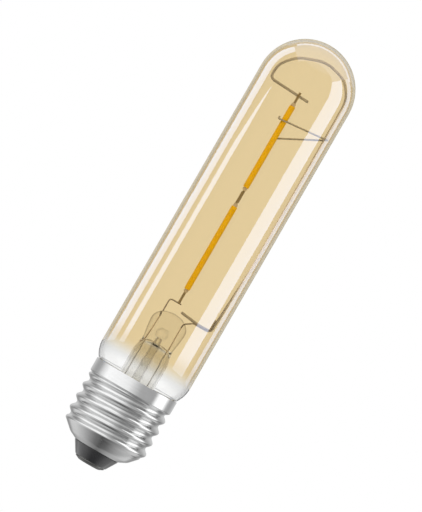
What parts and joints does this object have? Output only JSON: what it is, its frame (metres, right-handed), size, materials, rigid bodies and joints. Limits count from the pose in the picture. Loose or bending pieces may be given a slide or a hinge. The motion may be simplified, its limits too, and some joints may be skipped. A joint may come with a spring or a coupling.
{
  "type": "tubular filament lamp",
  "caption": "Long tubular lamp with an amber tinted glass tube, a domed end, filament strips welded in series on a glass stem, and a metal screw cap.",
  "frame": {"origin": "middle of the centre contact's outer face, the lowest point of the lamp's cap end", "axes": "+Z along the lamp's axis from the centre contact to the dome, +X towards the long support wire, -Y is the side that the picture shows"},
  "size_m": [0.0288, 0.0288, 0.1382],
  "materials": {
    "tinted_glass": "clear, amber tinted, fading to clear near the cap",
    "clear_glass": "clear",
    "plated_steel": "bright nickel plate",
    "black_insulator": "glossy",
    "contact_metal": "satin",
    "cement": "matt",
    "dark_wire": "matt",
    "seal_wire": "dull red copper skin",
    "filament_metal": "matt",
    "phosphor": "matt amber yellow",
    "chip": "glossy",
    "board": "matt white",
    "black_package": "matt",
    "capacitor_sleeve": "satin",
    "resistor_body": "matt",
    "sleeve_fabric": "woven",
    "solder": "bright"
  },
  "bodies": {
    "root": {"glass_bulb": "tinted_glass", "glass_stem": "clear_glass", "exhaust_tube": "clear_glass", "cap_shell": "plated_steel", "cap_insulator": "black_insulator", "centre_contact": "contact_metal", "capping_cement": "cement", "cap_lead": "dark_wire", "left_inner_lead": "dark_wire", "right_inner_lead": "dark_wire", "left_seal_wire": "seal_wire", "right_seal_wire": "seal_wire", "left_outer_lead": "dark_wire", "right_outer_lead": "dark_wire", "support_wire": "dark_wire", "fork_support": "dark_wire", "driver_board": "board", "bridge_rectifier": "black_package", "current_controller": "black_package", "sense_resistors": "black_package", "smoothing_capacitor": "capacitor_sleeve", "fusible_resistor": "resistor_body", "resistor_sleeve": "sleeve_fabric", "solder_joints": "solder", "lower_filament_coating": "phosphor", "lower_filament_strip": "filament_metal", "lower_filament_chips": "chip", "lower_filament_bottom_tab": "filament_metal", "lower_filament_top_tab": "filament_metal", "upper_filament_coating": "phosphor", "upper_filament_strip": "filament_metal", "upper_filament_chips": "chip", "upper_filament_bottom_tab": "filament_metal", "upper_filament_top_tab": "filament_metal"}
  },
  "joints": []
}
